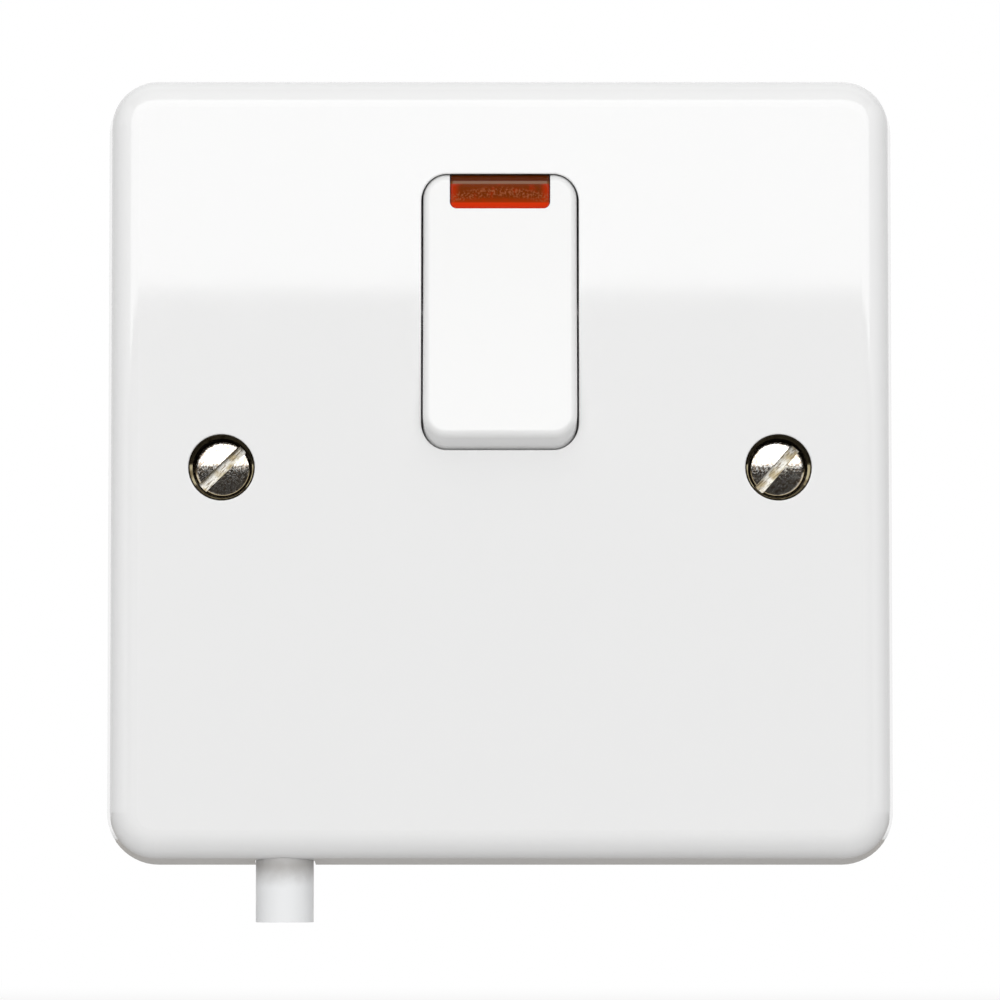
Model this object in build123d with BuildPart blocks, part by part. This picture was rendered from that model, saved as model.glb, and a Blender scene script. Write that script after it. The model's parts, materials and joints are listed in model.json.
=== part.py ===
from build123d import *
import os
from math import asin, cos, hypot, radians, sin, sqrt

# A single-gang double pole switch with an indicator and a flex outlet, in millimetres and degrees.
# X points right across the face, Y into the wall and Z up. The origin is the middle of the plate's
# rear rim, on the wall's surface, midway between the fixing screws. The rocker is at off.

# Plate
plate_size = 86.0
plate_depth = 9.0
plate_corner = 5.7
front_wall = 2.5
side_wall = 2.2
plate_draft = 6.5
face_rounding = 3.1
mouth_rounding = 0.15
tray_corner = 3.0
tray_draft = 9.0
web_thickness = 1.6
web_height = 2.6

# Fixing screws
fixing_spacing = 60.3
counterbore_diameter = 7.2
counterbore_depth = 4.5
fixing_hole = 4.0
fixing_boss_diameter = 10.6
fixing_boss_setback = 0.9
fixing_screw_length = 25.0
head_diameter = 6.1
head_height = 2.0
head_dome = 0.19
head_bevel = 0.18
head_slot_width = 1.05
head_slot_depth = 1.1
slot_angles = (44.0, 49.0)
thread_diameter = 3.5
thread_start = 0.1
thread_lead = 0.6
neck_diameter = 3.0
eyelet_sheet = 0.15
retainer_diameter = 7.2
retainer_thickness = 0.6

# Rocker
rocker_height = 16.9
opening_width = 17.1
opening_length = 29.9
opening_corner = 2.8
rocker_gap = 0.2
rocker_swing = 10.0
pivot_behind_face = 5.5
rocker_dish = 0.6
rocker_wall = 1.5
rocker_rounding = 0.9
rocker_skirt = 1.8
trunnion_diameter = 3.2
trunnion_length = 1.6
sleeve_web = 1.2

# Indicator lens
lens_width = 10.8
lens_length = 3.44
lens_corner = 0.75
lens_foot = 1.5
flange_thickness = 0.8
flange_margin = 0.9
flange_length = 2.2

# Plungers, in the rocker's sleeves
sleeve_diameter = 5.2
sleeve_sink = 0.35
sleeve_reach = 6.0
plunger_diameter = 3.2
plunger_reach = 10.8
plunger_root = 1.0
plunger_slack = 0.15
spring_wire = 0.5
spring_turns = 3.5

# Contact arms and tips
arm_width = 5.0
arm_thickness = 1.2
arm_up = 9.6
arm_end = 2.0
arm_down = 10.0
arm_corner = 1.0
arm_swing = 17.0
fulcrum_radius = 0.7
fulcrum_inset = 0.35
tip_diameter = 3.4
tip_edge = 0.6
tip_dome = 0.3
tip_gap = 0.08
fixed_tip_diameter = 4.0
fixed_tip_thickness = 0.9

# Terminal strips and terminals
strip_thickness = 1.2
strip_width = 5.2
load_leg_width = 3.2
load_leg_above = 2.5
load_terminal_drop = 14.0
terminal_offset = 14.4
terminal_width = 7.2
terminal_depth = 7.6
terminal_height = 9.0
terminal_bevel = 0.5
terminal_bore = 4.0
terminal_bore_inset = 3.3
terminal_screw_diameter = 3.5
terminal_screw_head = 4.8
terminal_screw_head_height = 1.8
terminal_screw_lift = 0.4
screw_slot_width = 0.9
screw_slot_depth = 0.9
screw_slot_angle = 30.0

# Base and terminal block
well_side_clearance = 0.35
well_end_clearance = 0.4
well_floor_clearance = 0.35
well_floor = 1.6
well_corner = 1.0
base_wall = 1.4
base_front_gap = 0.2
chamber_width = 6.6
chamber_side_wall = 2.1
chamber_margin = 0.8
stop_width = 1.2
stop_reach = 1.5
stop_gap = 0.12
block_skin = 1.6
block_floor = 2.2
block_corner = 1.5
seat_depth = 1.0
screw_shroud = 2.6
conductor_entry = 4.8
ear_beyond_block = 3.7
ear_width = 8.0
ear_thickness = 2.4
ear_setback = 1.4
base_boss_diameter = 6.2
tapping_screw_diameter = 2.8
tapping_screw_head = 5.0
tapping_screw_head_height = 1.7
tapping_screw_end_gap = 0.6

# Indicator lamp
lamp_diameter = 3.5
lamp_length = 9.0
lamp_above_pivot = 11.7
lamp_glass = 0.4
lamp_seal = 1.0
electrode_diameter = 0.6
electrode_length = 5.0
electrode_spacing = 1.1
resistor_diameter = 1.7
resistor_length = 3.6
resistor_below_lamp = 3.0
resistor_waist = 0.2
resistor_cap = 0.9
lead_diameter = 0.44
lead_sides = 6
lead_bend = 0.5
wire_clearance = 0.35

# Flex, its grip and the earth terminal
flex_from_side = 19.6
flex_diameter = 6.3
flex_stub = 6.2
flex_inside = 16.5
flex_wall_gap = 0.4
core_diameter = 2.2
core_spread = 1.36
core_bend = 6.5
core_mouth = 3.0
core_turn = 5.0
core_step = 7.0
core_rise = 5.5
core_sag = 2.0
conductor_diameter = 1.15
bare_gap = 1.0
grip_from_edge = 11.5
grip_width = 6.4
grip_length = 19.6
grip_thickness = 2.0
grip_arch = 1.6
grip_screw_offset = 6.8
grip_boss_diameter = 5.6
grip_boss_behind_axis = 1.2
earth_offset = 1.0
earth_beyond_flex = 7.0
earth_length = 14.0
earth_width = 6.4
earth_bore = 3.2
earth_bore_depth = 6.2
earth_cap = 1.7
earth_screw_spacing = 7.0
earth_screw_diameter = 3.0
earth_screw_head = 4.4
earth_screw_head_height = 1.6
earth_rib = 1.2
earth_rib_height = 3.6
earth_rib_length = 9.0

# Clearances
running = 0.1
slip = 0.05
cut_over = 1.0

# Depths of the plate, and the rocker's pivot
face_y = -plate_depth
inner_y = face_y + front_wall
bore_floor_y = face_y + counterbore_depth
seat_y = bore_floor_y - eyelet_sheet
pivot_y = face_y + pivot_behind_face
pivot = (0, pivot_y, rocker_height)
half_swing = radians(rocker_swing / 2)

# The opening's ends are cylinders about the pivot, so the gap round the rocker stays even as it turns
opening_radius = hypot(opening_length / 2, pivot_behind_face)
rocker_radius = opening_radius - rocker_gap
rocker_width = opening_width - 2 * rocker_gap
hollow_half_width = rocker_width / 2 - rocker_wall
pole_offset = hollow_half_width + sleeve_sink - sleeve_diameter / 2
lip_angle = asin(pivot_behind_face / rocker_radius) + half_swing
lip_forward = rocker_radius * sin(lip_angle)
lip_up = rocker_radius * cos(lip_angle)
wall_forward = lip_forward - rocker_dish - rocker_wall
lens_low = lip_up - lens_length

# The rocker's own planes, turned to off: one looks at its side and the other at its face
rocker_side = Plane(origin=pivot, x_dir=(0, cos(half_swing), -sin(half_swing)), z_dir=(1, 0, 0))
rocker_front = Plane(origin=pivot, x_dir=(1, 0, 0), z_dir=(0, -cos(half_swing), sin(half_swing)))
pivot_side = Plane(origin=pivot, x_dir=(0, 1, 0), z_dir=(1, 0, 0))

# The arm rocks behind the plunger's tip, and its moving tip meets the fixed one at on
half_arm_swing = radians(arm_swing / 2)
fulcrum_y = pivot_y + plunger_reach + plunger_slack + arm_thickness + fulcrum_inset
fulcrum = (0, fulcrum_y, rocker_height)
fulcrum_side = Plane(origin=fulcrum, x_dir=(0, 1, 0), z_dir=(1, 0, 0))
arm_side = Plane(
    origin=fulcrum, x_dir=(0, cos(half_arm_swing), sin(half_arm_swing)), z_dir=(1, 0, 0)
)
tip_radius = tip_diameter / 2
tip_height = tip_edge + tip_dome
dome_radius = (tip_radius**2 + tip_dome**2) / (2 * tip_dome)
dome_centre = tip_height - fulcrum_inset - dome_radius
closed_depth = dome_centre * cos(half_arm_swing) + arm_up * sin(half_arm_swing) + dome_radius
closed_height = arm_up * cos(half_arm_swing) - dome_centre * sin(half_arm_swing)
fixed_tip_y = fulcrum_y + closed_depth + tip_gap
strip_y = fixed_tip_y + fixed_tip_thickness
strip_back_y = strip_y + strip_thickness
stop_y = fulcrum_y - fulcrum_inset * cos(half_arm_swing) + arm_down * sin(half_arm_swing) + stop_gap
supply_z = rocker_height + closed_height
load_z = rocker_height - load_terminal_drop
terminal_back_y = strip_back_y + terminal_depth
terminal_bore_y = strip_back_y + terminal_bore_inset

# The base's outer sizes
well_half_width = rocker_width / 2 + well_side_clearance
well_half_length = rocker_radius + well_end_clearance
skirt_up = sqrt(rocker_radius**2 - rocker_skirt**2)
skirt_reach = rocker_skirt * cos(half_swing) + skirt_up * sin(half_swing)
floor_y = pivot_y + skirt_reach + well_floor_clearance
well_front_y = inner_y + base_front_gap
chamber_low = rocker_height - arm_down - chamber_margin
chamber_high = rocker_height + arm_up + arm_end + chamber_margin
chamber_middle = (chamber_low + chamber_high) / 2
chamber_length = chamber_high - chamber_low
chamber_outer = pole_offset + chamber_width / 2 + chamber_side_wall
pocket_width = terminal_width + 2 * running
pocket_height = terminal_height + 2 * running
block_half_width = terminal_offset + pocket_width / 2 + block_skin
block_low = load_z - pocket_height / 2 - block_skin
block_high = supply_z + pocket_height / 2 + block_skin
block_middle = (block_low + block_high) / 2
block_front_y = strip_y - block_skin
block_back_y = terminal_back_y + screw_shroud
seat_back_y = block_front_y + seat_depth
ear_x = block_half_width + ear_beyond_block
ear_front_y = -ear_setback
ear_back_y = ear_front_y + ear_thickness
tapping_end_y = inner_y + tapping_screw_end_gap

# The lamp lies on the floor of the rocker's well, behind the lens
lamp_y = floor_y - lamp_diameter / 2 - running
lamp_z = rocker_height + lamp_above_pivot
resistor_z = lamp_z - resistor_below_lamp
lead_x = pole_offset + chamber_width / 2 - lead_diameter
wire_x = hollow_half_width - wire_clearance - lead_diameter / 2
resistor_start_y = floor_y + well_floor_clearance

# The flex lies in the plate's bottom edge, its earth core nearest the face
flex_offset = flex_from_side - plate_size / 2
flex_end = flex_inside - plate_size / 2
grip_height = grip_from_edge - plate_size / 2
earth_height = flex_end + earth_beyond_flex
flex_y = -flex_wall_gap - flex_diameter / 2
stub_z = -plate_size / 2 - flex_stub
core_side = core_spread * cos(radians(30))
core_back_y = flex_y + core_spread * sin(radians(30))
earth_core_y = flex_y - core_spread
grip_seat_y = flex_y + grip_boss_behind_axis
grip_back_y = grip_seat_y + grip_thickness
earth_bore_y = earth_core_y - conductor_diameter / 2 - slip + earth_bore / 2
earth_back_y = earth_bore_y + earth_bore / 2 + earth_cap
earth_left = earth_offset - earth_length / 2
earth_right = earth_offset + earth_length / 2
clamped_y = terminal_bore_y - terminal_bore / 2 + conductor_diameter / 2 + slip

poles = (("live", 1), ("neutral", -1))
os.makedirs("parts", exist_ok=True)


def room_plane(y):
    """The plane at depth y that faces the room, with X to the right and Z up."""
    return Plane.XZ.offset(-y)


def rocking_profile(plane, radius, front, dish, back):
    """A face between two end arcs about the pivot, from a dished or flat front to a flat back."""
    front_up = sqrt(radius**2 - front**2)
    back_up = sqrt(radius**2 - back**2)
    middle = (front - back) / 2
    middle_up = sqrt(radius**2 - middle**2)
    with BuildSketch(plane, mode=Mode.PRIVATE) as profile:
        with BuildLine():
            ThreePointArc((back, -back_up), (-middle, -middle_up), (-front, -front_up))
            if dish:
                ThreePointArc((-front, -front_up), (dish - front, 0), (-front, front_up))
            else:
                Line((-front, -front_up), (-front, front_up))
            ThreePointArc((-front, front_up), (-middle, middle_up), (back, back_up))
            Line((back, back_up), (back, -back_up))
        make_face()
    return profile.sketch


def end_edges(piece, radius):
    """The edges of a piece that follow its end arcs."""
    arcs = piece.edges().filter_by(GeomType.CIRCLE)
    return [arc for arc in arcs if abs(arc.radius - radius) < slip]


def slotted_screws(places, shank, head, head_height):
    """Screws whose slotted heads face the wall, each given as (x, z, depth of tip, depth of head)."""
    with BuildPart() as screws:
        for x, z, tip_y, head_y in places:
            with BuildSketch(room_plane(head_y)):
                with Locations((x, z)):
                    Circle(shank / 2)
            extrude(amount=head_y - tip_y)
            with BuildSketch(room_plane(head_y)):
                with Locations((x, z)):
                    Circle(head / 2)
            extrude(amount=-head_height)
            with BuildSketch(room_plane(head_y + head_height)):
                with Locations((x, z)):
                    Rectangle(head + cut_over, screw_slot_width, rotation=screw_slot_angle)
            extrude(amount=screw_slot_depth, mode=Mode.SUBTRACT)
    return screws


def wire(points, bend, section):
    """A wire of the given section along a route of straight runs and arcs."""
    with BuildPart() as strand:
        with BuildLine() as route:
            FilletPolyline(*points, radius=bend)
        with BuildSketch(Plane(origin=route.line @ 0, z_dir=route.line % 0)):
            add(section)
        sweep(path=route.line)
    return strand.part


# The cutter for the rocker's opening, flared towards the back
with BuildPart() as opening_cutter:
    cut_front = pivot_behind_face + cut_over
    cut_back = front_wall + cut_over - pivot_behind_face
    extrude(
        rocking_profile(pivot_side, opening_radius, cut_front, 0, cut_back),
        amount=opening_width / 2,
        both=True,
    )
    fillet(end_edges(opening_cutter, opening_radius), opening_corner)

# Front plate: a drafted edge, a broad rounding and a flat face, hollow behind
with BuildPart() as front_plate:
    with BuildSketch(room_plane(0)):
        RectangleRounded(plate_size, plate_size, plate_corner)
    extrude(amount=plate_depth, taper=plate_draft)
    fillet(front_plate.faces().sort_by(Axis.Y)[0].edges(), face_rounding)
    tray_size = plate_size - 2 * side_wall
    with BuildSketch(room_plane(0)):
        RectangleRounded(tray_size, tray_size, tray_corner)
    extrude(amount=plate_depth - front_wall, taper=tray_draft, mode=Mode.SUBTRACT)

    # Bosses for the fixing screws, each braced to the side wall, and for the base and the grip
    with BuildSketch(room_plane(-fixing_boss_setback)):
        with GridLocations(fixing_spacing, 0, 2, 1):
            Circle(fixing_boss_diameter / 2)
    extrude(amount=-fixing_boss_setback - inner_y)
    web_length = (tray_size - fixing_spacing) / 2
    with BuildSketch(room_plane(inner_y)):
        with GridLocations(fixing_spacing + web_length, 0, 2, 1):
            Rectangle(web_length, web_thickness)
    extrude(amount=-web_height)
    with BuildSketch(room_plane(ear_front_y)):
        with Locations((0, rocker_height)):
            with GridLocations(2 * ear_x, 0, 2, 1):
                Circle(base_boss_diameter / 2)
    extrude(amount=ear_front_y - inner_y)
    with BuildSketch(room_plane(grip_seat_y)):
        with Locations((flex_offset, grip_height)):
            with GridLocations(2 * grip_screw_offset, 0, 2, 1):
                Circle(grip_boss_diameter / 2)
    extrude(amount=grip_seat_y - inner_y)

    # Pads that keep the trunnions in their slots, and ribs each side of the earth terminal
    with BuildSketch(room_plane(inner_y)):
        with Locations((0, rocker_height)):
            with GridLocations(2 * well_half_width + base_wall, 0, 2, 1):
                Rectangle(base_wall - 2 * running, trunnion_diameter - 2 * running)
    extrude(amount=inner_y + running + trunnion_diameter / 2 - pivot_y)
    with BuildSketch(room_plane(inner_y)):
        with Locations((earth_offset, earth_height)):
            with GridLocations(0, earth_width + 2 * running + earth_rib, 1, 2):
                Rectangle(earth_rib_length, earth_rib)
    extrude(amount=-earth_rib_height)

    # The rocker's opening and the fixing screws' counterbores, with eased mouths
    add(opening_cutter.part, mode=Mode.SUBTRACT)
    with BuildSketch(room_plane(bore_floor_y)):
        with GridLocations(fixing_spacing, 0, 2, 1):
            Circle(counterbore_diameter / 2)
    extrude(amount=counterbore_depth, mode=Mode.SUBTRACT)
    mouths = front_plate.faces().sort_by(Axis.Y)[0].inner_wires()
    fillet(mouths.edges(), mouth_rounding)
    with BuildSketch(room_plane(0)):
        with GridLocations(fixing_spacing, 0, 2, 1):
            Circle(fixing_hole / 2)
    extrude(amount=plate_depth, mode=Mode.SUBTRACT)

    # Pilot holes in the bosses
    pilot_radius = tapping_screw_diameter / 2 + slip
    pilot_end_y = tapping_end_y - tapping_screw_end_gap / 2
    with BuildSketch(room_plane(ear_front_y)):
        with Locations((0, rocker_height)):
            with GridLocations(2 * ear_x, 0, 2, 1):
                Circle(pilot_radius)
    extrude(amount=ear_front_y - pilot_end_y, mode=Mode.SUBTRACT)
    with BuildSketch(room_plane(grip_seat_y)):
        with Locations((flex_offset, grip_height)):
            with GridLocations(2 * grip_screw_offset, 0, 2, 1):
                Circle(pilot_radius)
    extrude(amount=grip_seat_y - pilot_end_y, mode=Mode.SUBTRACT)

    # The flex's outlet through the bottom edge and its groove up to the grip
    outlet_width = flex_diameter + 2 * running
    with BuildSketch(Plane.XY.offset(-plate_size / 2 - cut_over)):
        with Locations((flex_offset, flex_y)):
            Circle(outlet_width / 2)
        with Locations((flex_offset, flex_y / 2)):
            Rectangle(outlet_width, -flex_y)
    extrude(amount=flex_end + plate_size / 2 + 2 * cut_over, mode=Mode.SUBTRACT)
front_plate.part.label = "front_plate"
export_step(front_plate.part, "parts/front_plate.step")

# Eyelets: thin brass cups that line the counterbores, each under a screw's head
with BuildPart() as screw_eyelets:
    with BuildSketch(room_plane(bore_floor_y)):
        with GridLocations(fixing_spacing, 0, 2, 1):
            Circle(counterbore_diameter / 2)
    extrude(amount=counterbore_depth - mouth_rounding)
    with BuildSketch(room_plane(seat_y)):
        with GridLocations(fixing_spacing, 0, 2, 1):
            Circle(counterbore_diameter / 2 - eyelet_sheet)
    extrude(amount=counterbore_depth, mode=Mode.SUBTRACT)
    with BuildSketch(room_plane(bore_floor_y)):
        with GridLocations(fixing_spacing, 0, 2, 1):
            Circle(fixing_hole / 2)
    extrude(amount=eyelet_sheet, mode=Mode.SUBTRACT)
screw_eyelets.part.label = "screw_eyelets"
export_step(screw_eyelets.part, "parts/screw_eyelets.step")

# Fixing screws: domed slotted heads, a thin neck in the plate and a threaded end behind it
with BuildPart() as fixing_screws:
    crown_y = seat_y - head_height
    edge_y = crown_y + head_dome
    bevel_radius = head_diameter / 2 - head_bevel
    crown_radius = (bevel_radius**2 + head_dome**2) / (2 * head_dome)
    crown_half = bevel_radius / 2
    crown_half_y = crown_y + crown_radius - sqrt(crown_radius**2 - crown_half**2)
    end_y = seat_y + fixing_screw_length
    for side, slot_angle in zip((-1, 1), slot_angles):
        screw_x = side * fixing_spacing / 2
        with BuildSketch(Plane(origin=(screw_x, 0, 0))):
            with BuildLine():
                ThreePointArc((0, crown_y), (crown_half, crown_half_y), (bevel_radius, edge_y))
                Polyline(
                    (bevel_radius, edge_y),
                    (head_diameter / 2, edge_y + head_bevel),
                    (head_diameter / 2, seat_y),
                    (neck_diameter / 2, seat_y),
                    (neck_diameter / 2, thread_start),
                    (thread_diameter / 2, thread_start),
                    (thread_diameter / 2, end_y - thread_lead),
                    (thread_diameter / 2 - thread_lead, end_y),
                    (0, end_y),
                    (0, crown_y),
                )
            make_face()
        revolve(axis=Axis((screw_x, 0, 0), (0, 1, 0)))
        with BuildSketch(room_plane(crown_y)):
            with Locations((screw_x, 0)):
                Rectangle(head_diameter + cut_over, head_slot_width, rotation=slot_angle)
        extrude(amount=-head_slot_depth, mode=Mode.SUBTRACT)
fixing_screws.part.label = "fixing_screws"
export_step(fixing_screws.part, "parts/fixing_screws.step")

# Retaining washers on the screws' necks, behind the bosses
with BuildPart() as screw_retainers:
    with BuildSketch(room_plane(retainer_thickness - fixing_boss_setback)):
        with GridLocations(fixing_spacing, 0, 2, 1):
            Circle(retainer_diameter / 2)
            Circle(neck_diameter / 2 + slip, mode=Mode.SUBTRACT)
    extrude(amount=retainer_thickness)
screw_retainers.part.label = "screw_retainers"
export_step(screw_retainers.part, "parts/screw_retainers.step")

# The rocker's outside, which the lens shares, and its hollow
with BuildPart() as rocker_blank:
    extrude(
        rocking_profile(rocker_side, rocker_radius, lip_forward, rocker_dish, rocker_skirt),
        amount=rocker_width / 2,
        both=True,
    )
    fillet(end_edges(rocker_blank, rocker_radius), opening_corner - rocker_gap)
    fillet(rocker_blank.faces().sort_by(Axis.Y)[0].edges(), rocker_rounding)
with BuildPart() as rocker_hollow:
    hollow_radius = rocker_radius - rocker_wall
    hollow_forward = lip_forward - rocker_wall
    hollow_back = rocker_skirt + cut_over
    extrude(
        rocking_profile(rocker_side, hollow_radius, hollow_forward, rocker_dish, hollow_back),
        amount=hollow_half_width,
        both=True,
    )

# Rocker: a hollow shell with a notch for the lens, two plunger sleeves and two trunnions
with BuildPart() as rocker:
    add(rocker_blank.part)
    add(rocker_hollow.part, mode=Mode.SUBTRACT)
    notch_length = lens_length + rocker_radius
    with BuildSketch(rocker_front.offset(lens_foot)):
        with Locations((0, lens_low - slip + notch_length / 2)):
            RectangleRounded(lens_width + 2 * slip, notch_length, lens_corner)
    extrude(amount=lip_forward, mode=Mode.SUBTRACT)
    with BuildSketch(rocker_front.offset(-sleeve_reach)):
        with GridLocations(2 * pole_offset, 0, 2, 1):
            Circle(sleeve_diameter / 2)
    extrude(amount=sleeve_reach + wall_forward + rocker_wall / 2)
    with BuildSketch(rocker_front.offset(-rocker_skirt)):
        Rectangle(2 * pole_offset - sleeve_diameter / 2, sleeve_web)
    extrude(amount=rocker_skirt + wall_forward + rocker_wall / 2)
    with BuildSketch(rocker_front.offset(-sleeve_reach)):
        with GridLocations(2 * pole_offset, 0, 2, 1):
            Circle(plunger_diameter / 2 + running)
    extrude(amount=sleeve_reach + wall_forward, mode=Mode.SUBTRACT)
    for side in (-1, 1):
        with BuildSketch(rocker_side.offset(side * (rocker_width - rocker_wall) / 2)):
            Circle(trunnion_diameter / 2)
        extrude(amount=side * (trunnion_length + rocker_wall / 2))
rocker.part.label = "rocker"
export_step(rocker.part, "parts/rocker.step")

# Indicator lens: flush with the rocker outside, with a flange that catches behind its wall
with BuildPart() as indicator_lens:
    dish_radius = (hollow_radius**2 - hollow_forward**2 + rocker_dish**2) / (2 * rocker_dish)
    flange_low = lens_low - flange_margin
    flange_sag = dish_radius - sqrt(dish_radius**2 - flange_low**2)
    flange_front = hollow_forward - rocker_dish + flange_sag - slip
    add(rocker_blank.part)
    add(rocker_hollow.part, mode=Mode.SUBTRACT)
    with BuildSketch(rocker_front.offset(lens_foot + slip)):
        with Locations((0, lens_low + notch_length / 2)):
            RectangleRounded(lens_width, notch_length, lens_corner)
    extrude(amount=lip_forward, mode=Mode.INTERSECT)
    with BuildSketch(rocker_front.offset(flange_front - flange_thickness)):
        with Locations((0, flange_low + flange_length / 2)):
            Rectangle(lens_width + 2 * flange_margin, flange_length)
    extrude(amount=flange_thickness)
    with BuildSketch(rocker_front.offset(flange_front - flange_thickness)):
        with Locations((0, lens_low + flange_length / 2)):
            Rectangle(lens_width - 2 * lens_corner, flange_length - 2 * lens_corner)
    extrude(amount=flange_thickness + rocker_wall / 2)
indicator_lens.part.label = "indicator_lens"
export_step(indicator_lens.part, "parts/indicator_lens.step")

# Base: the rocker's well in front, with ears for its screws, and two contact chambers behind it
with BuildPart() as switch_base:
    with BuildSketch(room_plane(floor_y + well_floor)):
        with Locations((0, rocker_height)):
            well_outer_width = 2 * (well_half_width + base_wall)
            well_outer_length = 2 * (well_half_length + base_wall)
            RectangleRounded(well_outer_width, well_outer_length, well_corner + base_wall)
    extrude(amount=floor_y + well_floor - well_front_y)
    with BuildSketch(room_plane(seat_back_y)):
        with Locations((0, chamber_middle)):
            Rectangle(2 * chamber_outer, chamber_length + 2 * base_wall)
    extrude(amount=seat_back_y - floor_y)
    with BuildSketch(room_plane(ear_back_y)):
        with Locations((0, rocker_height)):
            SlotCenterToCenter(2 * ear_x, ear_width)
            with GridLocations(2 * ear_x, 0, 2, 1):
                Circle(tapping_screw_diameter / 2 + running, mode=Mode.SUBTRACT)
    extrude(amount=ear_thickness)
    with BuildSketch(room_plane(floor_y)):
        with Locations((0, rocker_height)):
            RectangleRounded(2 * well_half_width, 2 * well_half_length, well_corner)
    extrude(amount=floor_y - well_front_y, mode=Mode.SUBTRACT)
    with BuildSketch(pivot_side):
        Circle(trunnion_diameter / 2 + running)
        with Locations((-pivot_behind_face / 2, 0)):
            Rectangle(pivot_behind_face, trunnion_diameter + 2 * running)
    extrude(amount=well_half_width + base_wall, both=True, mode=Mode.SUBTRACT)
    with BuildSketch(room_plane(seat_back_y)):
        with Locations((0, chamber_middle)):
            with GridLocations(2 * pole_offset, 0, 2, 1):
                Rectangle(chamber_width + 2 * slip, chamber_length)
    extrude(amount=seat_back_y - floor_y, mode=Mode.SUBTRACT)
switch_base.part.label = "switch_base"
export_step(switch_base.part, "parts/switch_base.step")

# Terminal block: it closes the chambers from behind and holds the strips and terminals
with BuildPart() as terminal_block:
    with BuildSketch(room_plane(block_back_y)):
        with Locations((0, block_middle)):
            RectangleRounded(2 * block_half_width, block_high - block_low, block_corner)
    extrude(amount=block_back_y - block_front_y)
    with BuildSketch(room_plane(seat_back_y + slip)):
        with Locations((0, chamber_middle)):
            Rectangle(2 * (chamber_outer + running), chamber_length + 2 * (base_wall + running))
    extrude(amount=seat_depth + slip, mode=Mode.SUBTRACT)

    # The chambers' backs, with a stop each side of the arm's lower end
    with BuildSketch(room_plane(strip_back_y)):
        with Locations((0, chamber_middle)):
            with GridLocations(2 * pole_offset, 0, 2, 1):
                Rectangle(chamber_width, chamber_length)
    extrude(amount=strip_back_y - block_front_y, mode=Mode.SUBTRACT)
    stop_z = rocker_height - (arm_down - stop_width / 2) * cos(half_arm_swing)
    with BuildSketch(room_plane(strip_back_y)):
        for side in (-1, 1):
            with Locations((side * pole_offset, stop_z)):
                with GridLocations(chamber_width - stop_reach, 0, 2, 1):
                    Rectangle(stop_reach, stop_width)
    extrude(amount=strip_back_y - stop_y)

    # Pockets for the terminals, open behind, and slots for the strips, open in front of the pockets
    strip_end = terminal_offset + terminal_width / 2 + running
    slot_width = strip_width + 2 * running
    supply_end = pole_offset - strip_width / 2 - running
    leg_inner = pole_offset - load_leg_width / 2 - running
    leg_low = load_z - slot_width / 2
    chamber_foot = chamber_low - base_wall
    with BuildSketch(room_plane(block_back_y)):
        with Locations((0, supply_z), (0, load_z)):
            with GridLocations(2 * terminal_offset, 0, 2, 1):
                Rectangle(pocket_width, pocket_height)
    extrude(amount=block_back_y - strip_back_y, mode=Mode.SUBTRACT)
    for side in (-1, 1):
        with BuildSketch(room_plane(strip_back_y)):
            with Locations((side * (supply_end + strip_end) / 2, supply_z)):
                Rectangle(strip_end - supply_end, slot_width)
            with Locations((side * (leg_inner + strip_end) / 2, load_z)):
                Rectangle(strip_end - leg_inner, slot_width)
            with Locations((side * pole_offset, (leg_low + chamber_middle) / 2)):
                Rectangle(load_leg_width + 2 * running, chamber_middle - leg_low)
        extrude(amount=strip_thickness + running, mode=Mode.SUBTRACT)
        with BuildSketch(room_plane(strip_back_y)):
            with Locations((side * (chamber_outer + strip_end) / 2, supply_z)):
                Rectangle(strip_end - chamber_outer, slot_width)
            with Locations((side * (chamber_outer + strip_end) / 2, load_z)):
                Rectangle(strip_end - chamber_outer, slot_width)
            with Locations((side * (leg_inner + strip_end) / 2, (leg_low + chamber_foot) / 2)):
                Rectangle(strip_end - leg_inner, chamber_foot - leg_low)
        extrude(amount=strip_back_y - block_front_y, mode=Mode.SUBTRACT)

    # Conductor entries above and below, and cored recesses that keep the walls even
    for entry_z, inward in ((block_high, -1), (block_low, 1)):
        with BuildSketch(Plane.XY.offset(entry_z)):
            with Locations((0, terminal_bore_y)):
                with GridLocations(2 * terminal_offset, 0, 2, 1):
                    Circle(conductor_entry / 2)
        extrude(amount=inward * (block_skin + running), mode=Mode.SUBTRACT)
    core_low = load_z + pocket_height / 2 + block_skin
    core_high = supply_z - pocket_height / 2 - block_skin
    with BuildSketch(room_plane(block_back_y)):
        with Locations((0, (core_low + core_high) / 2)):
            with GridLocations(2 * terminal_offset, 0, 2, 1):
                Rectangle(pocket_width, core_high - core_low)
        cell_width = terminal_offset - pocket_width / 2 - 1.5 * block_skin
        cell_height = (block_high - block_low - 3 * block_skin) / 2
        with Locations((0, block_middle)):
            with GridLocations(cell_width + block_skin, cell_height + block_skin, 2, 2):
                Rectangle(cell_width, cell_height)
    extrude(amount=block_back_y - strip_back_y - block_floor, mode=Mode.SUBTRACT)
terminal_block.part.label = "terminal_block"
export_step(terminal_block.part, "parts/terminal_block.step")

# Screws that hold the base to the plate's bosses
base_screws = slotted_screws(
    [(side * ear_x, rocker_height, tapping_end_y, ear_back_y) for side in (-1, 1)],
    tapping_screw_diameter,
    tapping_screw_head,
    tapping_screw_head_height,
)
base_screws.part.label = "base_screws"
export_step(base_screws.part, "parts/base_screws.step")

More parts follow.
